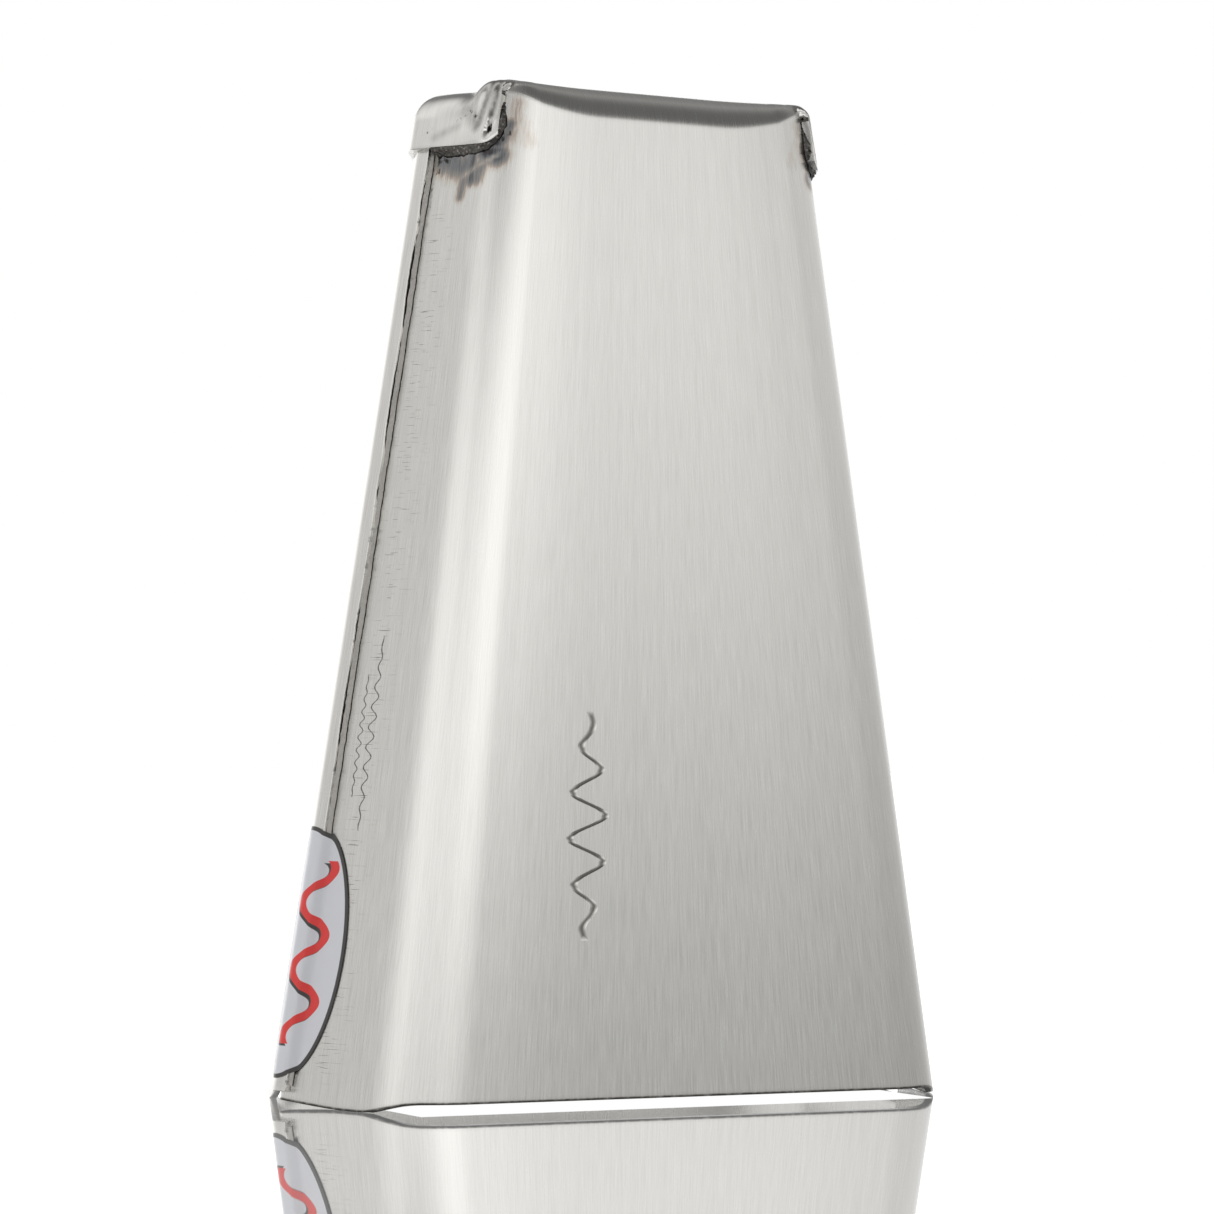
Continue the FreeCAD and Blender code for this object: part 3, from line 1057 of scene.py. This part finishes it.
@dataclass
class Bead:
    """A weld bead: a hollow fillet carried along a path on the wall, its skin lumpy."""

    name: str
    node: str
    side: Side
    lump: float
    seed: int
    ring: int = 9
    toe: tuple[float, float] = (0.22, 0.22)  # shares of the width painted with shade, first edge and toe
    waver: float = 0.8  # how far the toe wanders, in lumps
    hollow: float = 1.25  # power of the fillet's curve; above 1 is hollow
    sink: float = 0.05  # how far the skin's underside lies in the wall

    def roughness(self, count: int) -> Array:
        """Noise of the skin: a row for each point of the path, a column for each of the ring."""
        return np.stack([ripple(count, 2 + k % 3, self.seed + k) for k in range(self.ring)], -1)

    def section(self, rough: Array, lift: Array, leg: Array) -> tuple[Array, Array]:
        """Reach and height of the skin: a hollow fillet with lumps, then back under itself.

        Reach is leg t and height is lift (1 - t)^hollow, with lumps that swell with sin(pi t).

        Args:
            rough: noise of the skin.
            lift: height of the upper sheet's outer corner above the wall.
            leg: the bead's reach over the wall.

        Returns:
            Reach and height, a row for each point of the path.
        """
        count = len(leg)
        turn = np.linspace(0.0, 1.0, self.ring)
        body = np.sin(math.pi * turn)
        reach = leg[:, None] * turn + self.lump * 0.6 * rough * body
        height = lift[:, None] * (1 - turn) ** self.hollow + self.lump * (0.5 + np.abs(rough)) * body
        if self.waver:
            reach[:, -1] += self.lump * self.waver * ripple(count, 3, self.seed + 40)
        back = np.hstack([reach[:, -1:], np.zeros((count, 2))])
        under = np.hstack([np.full((count, 2), -self.sink), height[:, :1]])
        return np.hstack([reach, back]), np.hstack([height, under])

    def levels(self, shape: tuple[int, int], shine: float) -> dict[str, Array]:
        """Levels of the skin: painted shade along both edges, bare metal with a painted highlight at its
        middle.
        """
        turn = np.linspace(0.0, 1.0, self.ring)
        dark = np.maximum(smooth(self.toe[0], 0.0, turn), smooth(1.0 - self.toe[1], 1.0, turn))
        toe = np.concatenate([dark, np.ones(3)])
        bright = shine * np.concatenate([np.sin(math.pi * turn), np.zeros(3)])
        return {"toe": np.broadcast_to(toe, shape), "shine": np.broadcast_to(bright, shape)}

    def sweep(self, s: Array, z: Array, lift: Array, leg: Array, outward: Array, shine: float) -> Patch:
        """Closed skin of the bead.

        Args:
            s: path along the sheet, where the upper sheet's edge is.
            z: path height.
            lift: height of the upper sheet's outer corner above the wall.
            leg: the bead's reach over the wall.
            outward: direction from the edge over the wall, as (s, z), one for each point.
            shine: level of the bare, bright middle, which carries a painted highlight.

        Returns:
            The patch: a fillet arc from the edge's corner to the toe, then back under it.
        """
        reach, height = self.section(self.roughness(len(s)), lift, leg)
        path_s = s[:, None] + outward[:, :1] * reach
        path_z = z[:, None] + outward[:, 1:] * reach
        points = placed(FORM.at(path_s, path_z, height), self.side)
        length = np.concatenate([[0.0], np.cumsum(np.hypot(np.diff(s), np.diff(z)))])
        flat = np.stack([reach, np.broadcast_to(length[:, None], reach.shape)], -1)
        patch = Patch(points, flat, self.levels(reach.shape, shine))
        return patch if self.side is Side.LEFT else patch.flipped()

    def place(self, patch: Patch, metal: bpy.types.Material) -> bpy.types.Object:
        """Close the bead's ends and put it in place of its node."""
        bead = build_mesh(self.name, [patch])
        fill_ends(bead)
        return mount(settle(bead, 60.0), self.node, metal)


def side_bead(side: Side, kind: str, lump: float, seed: int, toe: tuple[float, float]) -> Bead:
    """A bead of one side, with its own draws on each side."""
    node = f"{side.word}_{kind}"
    return Bead(node + "_bead", node, side, lump, seed if side is Side.LEFT else seed + 60, toe=toe)


def fill_ends(obj: bpy.types.Object) -> None:
    """Close a tube's two open ends with one face each, and turn all faces outwards."""
    mesh = apply_modifiers(obj)
    work = bmesh.new()
    work.from_mesh(mesh)
    bmesh.ops.holes_fill(work, edges=[e for e in work.edges if e.is_boundary], sides=0)
    bmesh.ops.recalc_face_normals(work, faces=work.faces)
    work.to_mesh(mesh)
    work.free()


@dataclass
class SeamWeld:
    """The weld down one side seam: a narrow, roughly ground bead in the lip's step."""

    side: Side
    lip: float = 3.2
    leg: float = 0.32
    low: float = 4.0
    high: float = 196.5
    step: float = 0.22
    lump: float = 0.06
    back: float = 0.12  # the bead starts this far behind the lip's edge

    def build(self, metal: bpy.types.Material) -> bpy.types.Object:
        """Sweep the bead up the flange, where it grows and shrinks by noise."""
        bead = side_bead(self.side, "seam_weld", self.lump, 11, (0.3, 0.3))
        z = np.arange(self.low, self.high, self.step)
        count = len(z)
        s = self.lip + 0.05 * ripple(count, 6, bead.seed + 60) - self.back
        leg = self.leg * (1 + 0.25 * ripple(count, 11, bead.seed + 61)) + self.back
        lift = FORM.sheet * 0.8 + 0.02 + 0.04 * ripple(count, 3, bead.seed + 62)
        outward = np.tile([1.0, 0.0], (count, 1))
        # level 1.1: bare ground metal along the middle, with a painted highlight
        return bead.place(bead.sweep(s, z, lift, leg, outward, 1.1), metal)


@dataclass
class FlapWeld:
    """The weld round an end flap: under its lower edge, round the corner and up its front."""

    side: Side
    shell: FrontShell
    leg: float = 2.1
    front_leg: float = 1.15
    start: float = 4.4
    top: float = 205.2
    step: float = 0.22
    lump: float = 0.22
    back: float = 0.15  # the bead starts this far behind the flap's edge
    fade: float = 4.0  # the bead thins over this height to its top

    def build(self, metal: bpy.types.Material) -> bpy.types.Object:
        """Sweep the bead: straight along the edge, a quarter circle, then straight up."""
        bead = side_bead(self.side, "flap_weld", self.lump, 23, (0.22, 0.22))
        rise = self.shell.flap_rise
        front = float(FORM.along(np.array(FLAP_END), np.array(200.0)))
        flat_s = np.arange(self.start, front - rise, self.step)
        turn = np.linspace(0, math.pi / 2, 30)
        up_z = np.arange(self.shell.flap_edge + rise, self.top, self.step)
        s = np.concatenate([flat_s, front - rise + rise * np.sin(turn), np.full(len(up_z), front)])
        z = np.concatenate([
            np.full(len(flat_s), self.shell.flap_edge),
            self.shell.flap_edge + rise * (1 - np.cos(turn)),
            up_z,
        ])
        facing = np.concatenate([np.zeros(len(flat_s)), turn, np.full(len(up_z), math.pi / 2)])
        outward = np.stack([np.sin(facing), -np.cos(facing)], -1)
        share = np.sin(facing)
        count = len(s)
        leg = mix(self.leg, self.front_leg, share) * (1 + 0.07 * ripple(count, 7, bead.seed + 60))
        s = s - outward[:, 0] * self.back
        z = z - outward[:, 1] * self.back
        lift = self.shell.lift(s) - 0.35 + 0.06 * ripple(count, 4, bead.seed + 61)
        fade = smooth(0.0, self.fade, self.top - z)
        return bead.place(bead.sweep(s, z, lift * fade + 0.02, leg * (0.3 + 0.7 * fade), outward, 0.0), metal)


@dataclass
class RearFlapWeld:
    """The weld under the crown's rear flap."""

    shell: FrontShell
    leg: float = 2.0
    half_length: float = 27.0
    step: float = 0.3

    def build(self, metal: bpy.types.Material) -> bpy.types.Object:
        """Sweep the bead straight along the rear face."""
        bead = Bead("rear_flap_weld_bead", "rear_flap_weld", Side.LEFT, 0.2, 37, toe=(0.2, 0.22), waver=0.0)
        x = np.arange(-self.half_length, self.half_length, self.step)
        rough = bead.roughness(len(x))
        leg = self.leg * (1 + 0.08 * ripple(len(x), 7, bead.seed + 60))
        drop, height = bead.section(rough, np.full(len(x), FORM.sheet - 0.2), leg)
        z = self.shell.flap_edge + 0.1 - drop
        y = REAR_FORM.half_depth(z) + height
        points = np.stack([np.broadcast_to(x[:, None], z.shape), y, z], -1)
        flat = np.stack([drop, points[..., 0] + 2 * PATTERN_SHIFT], -1)
        return bead.place(Patch(points, flat, bead.levels(z.shape, 0.0)), metal)


@dataclass
class SideLabel:
    """The oval label over the left seam: thin film that follows ridge, lip and flange."""

    length: float = 51.0
    width: float = 25.0
    film: float = 0.25
    middle: float = 31.0
    lip: float = 3.2
    rings: int = 30
    sectors: int = 120

    def build(self) -> bpy.types.Object:
        """Lay a disc of rings and sectors over the seam.

        A point is (a, b) = r (half width cos t, half length sin t). a is the distance from the
        ridge, forwards when positive, and b the distance up from the label's middle. Over the
        front flange the film drops off the lip's edge in a smooth step.
        """
        ring = np.linspace(0.0, 1.0, self.rings)[::-1, None]
        turn = np.linspace(0.0, 2 * math.pi, self.sectors + 1)[None, :]
        a = ring * self.width / 2 * np.cos(turn)
        b = ring * self.length / 2 * np.sin(turn)
        z = self.middle + b
        drop = smooth(self.lip - 0.2, self.lip + 1.5, a)
        off = self.film + FORM.sheet * (1 - np.where(a > 0, drop, 0.0)) + 0.03
        front = FORM.at(np.abs(a), z, off)
        rear = placed(REAR_FORM.at(np.abs(a), z, off), Side.LEFT, Half.REAR)
        points = np.where((a > 0)[..., None], front, rear)
        flat = np.stack([a, b + 0 * a], -1)
        # Distance in from the oval's edge, nearly: (1 - r) over the length of r's gradient.
        slope = np.hypot(a / (self.width / 2) ** 2, b / (self.length / 2) ** 2) / np.maximum(ring, 1e-6)
        inset = (1.0 - ring) / np.maximum(slope, 1e-6)
        label = build_mesh("side_label_film", [Patch(points, flat, {"inset": inset})])
        thicken(label, self.film)
        film = PrintedFilm("screen printed vinyl film", self.length / 2)
        return mount(settle(label, 50.0), "side_label", film.build())


# ---- Studio ----


@dataclass
class Studio:
    """White floor, white surroundings with a soft bright front, and the camera.

    A ring is the pair of heights between which it takes over from the ring below, then its light
    as (azimuth in degrees, level) stops. The first ring starts at the horizon.
    """

    azimuth: float = math.radians(28.5)
    pitch: float = math.radians(1.6)
    roll: float = math.radians(0.6)
    distance: float = 922.0
    eye: float = 77.0
    lateral: float = -0.5
    lens: float = 129.1
    floor_half: float = 6000.0
    peak: float = 2.2
    floor_level: float = -0.1
    inner_level: float = -0.05
    inner_gap: tuple[float, float] = (3.0, 0.4)  # from the mouth's side and front edges
    inner_rear_gap: float = 6.0  # added behind, where the rear face hides the board
    rings: tuple[tuple[tuple[float, float], tuple[tuple[float, float], ...]], ...] = (
        ((0.0, 0.0), (
            (-180, 1.6), (-150, 1.5), (-135, 0.9), (-113, 0.74), (-92, 0.85), (-77, 1.0),
            (-62, 0.0), (-50, 0.0), (-28, 0.0), (-8, 0.3), (6, 0.6), (18, 0.62), (30, 0.44),
            (42, 0.4), (75, 0.45), (112, 0.6), (135, 1.3), (180, 1.6),
        )),
        ((0.02, 0.2), (
            (-180, 1.6), (-150, 1.5), (-135, 0.95), (-113, 0.85), (-92, 1.0), (-77, 1.75),
            (-62, 1.55), (-50, 1.5), (-28, 1.7), (-8, 2.05), (6, 1.85), (18, 1.5), (30, 1.25),
            (42, 1.1), (56, 0.98), (75, 0.95), (112, 1.0), (135, 1.3), (180, 1.6),
        )),
        ((0.33, 0.4), (
            (-180, 0.35), (-155, 0.9), (-125, 1.3), (-105, 1.25), (-80, 0.9), (-55, 0.3),
            (-15, 0.18), (60, 0.18), (110, 0.4), (150, 0.25), (180, 0.3),
        )),
    )

    def floor(self) -> None:
        """Lay the polished floor just under the rim, and a dull white board inside the mouth."""
        far = self.floor_half
        self.board("floor", (-far, far), (-far, far), self.floor_level, GlossyAcrylic())
        x = FORM.mouth_width / 2 - self.inner_gap[0]
        y = FORM.mouth_depth / 2 - self.inner_gap[1]
        dull = GlossyAcrylic("unpolished white acrylic", 0.0)
        self.board("floor_inside", (-x, x), (-y, y - self.inner_rear_gap), self.inner_level, dull)

    def board(
        self, name: str, x: tuple[float, float], y: tuple[float, float], z: float, finish: GlossyAcrylic
    ) -> None:
        """Lay one level board between two values of x and of y."""
        grid = np.array([[[a, b, z] for a in x] for b in y])
        sheet = build_mesh(name, [Patch(grid, grid[..., :2], {})])
        sheet.modifiers.clear()
        sheet.data.materials.append(finish.build())

    def surroundings(self) -> None:
        """Soft light from all round: a bright low ring, with a darker ceiling above the front.

        The level depends on the direction's azimuth, from behind the bell round by its left side
        (-90 degrees), its front (0) and its right side, and on its height. The rings light the
        bell and are seen in it; the camera itself sees even white behind it.
        """
        world = bpy.data.worlds.new("white studio")
        bpy.context.scene.world = world
        tree = Tree(world)
        way = tree.add("SeparateXYZ", {0: tree.add("TexCoord").outputs["Generated"]})
        angle = tree.math("ARCTAN2", way.outputs[0], tree.math("MULTIPLY", way.outputs[1], -1.0))
        turn = tree.math("MULTIPLY_ADD", angle, 1 / (2 * math.pi), 0.5)
        sky = None
        for (start, end), ring in self.rings:
            level = tree.ramp(turn, [((a + 180) / 360, v / self.peak) for a, v in ring])
            if sky is None:
                sky = level
            else:
                sky = tree.blend("MIX", tree.ramp(way.outputs[2], [(start, 0.0), (end, 1.0)]), sky, level)
        seen = tree.add("LightPath").outputs["Is Camera Ray"]
        sky = tree.blend("MIX", seen, sky, (1 / self.peak,) * 3 + (1.0,))
        light = tree.add("Background", {"Color": sky, "Strength": self.peak})
        tree.add("OutputWorld", {"Surface": light.outputs[0]})

    def camera(self) -> None:
        """Stand the camera in front and to the left, a little below the bell's middle."""
        back = Vector((-math.sin(self.azimuth), -math.cos(self.azimuth), 0.0))
        right = Vector((math.cos(self.azimuth), -math.sin(self.azimuth), 0.0))
        up = Vector((0.0, 0.0, 1.0))
        place = back * self.distance + right * self.lateral + up * self.eye
        tilted = back * math.cos(self.pitch) - up * math.sin(self.pitch)
        risen = up * math.cos(self.pitch) + back * math.sin(self.pitch)
        image_x = right * math.cos(self.roll) + risen * math.sin(self.roll)
        image_y = risen * math.cos(self.roll) - right * math.sin(self.roll)
        data = bpy.data.cameras.new("camera")
        data.lens = self.lens
        data.sensor_width = 36.0
        data.clip_start = 0.05
        data.clip_end = 50.0
        cam = bpy.data.objects.new("camera", data)
        bpy.context.scene.collection.objects.link(cam)
        turn = Matrix((image_x, image_y, tilted)).transposed().to_4x4()
        cam.matrix_world = Matrix.Translation(place * MM) @ turn
        bpy.context.scene.camera = cam

    def build(self) -> None:
        """Set up floor, surroundings, camera and a plain tone curve."""
        self.floor()
        self.surroundings()
        self.camera()
        bpy.context.scene.view_settings.view_transform = "Standard"


def main() -> None:
    """Build the bell's pieces in order, then the studio."""
    logging.basicConfig(level=logging.INFO, format="%(name)s %(message)s")
    steel = BrushedSteel("brushed cold-rolled steel").build()
    weld = WeldMetal("oxidised weld metal").build()
    rim = Rim()
    shell = FrontShell(rim)
    shell.build(steel)
    RearShell(rim).build(steel)
    for side in Side:
        SeamWeld(side).build(weld)
        FlapWeld(side, shell).build(weld)
    RearFlapWeld(shell).build(weld)
    SideLabel().build()
    Studio().build()


if __name__ == "__main__":
    main()
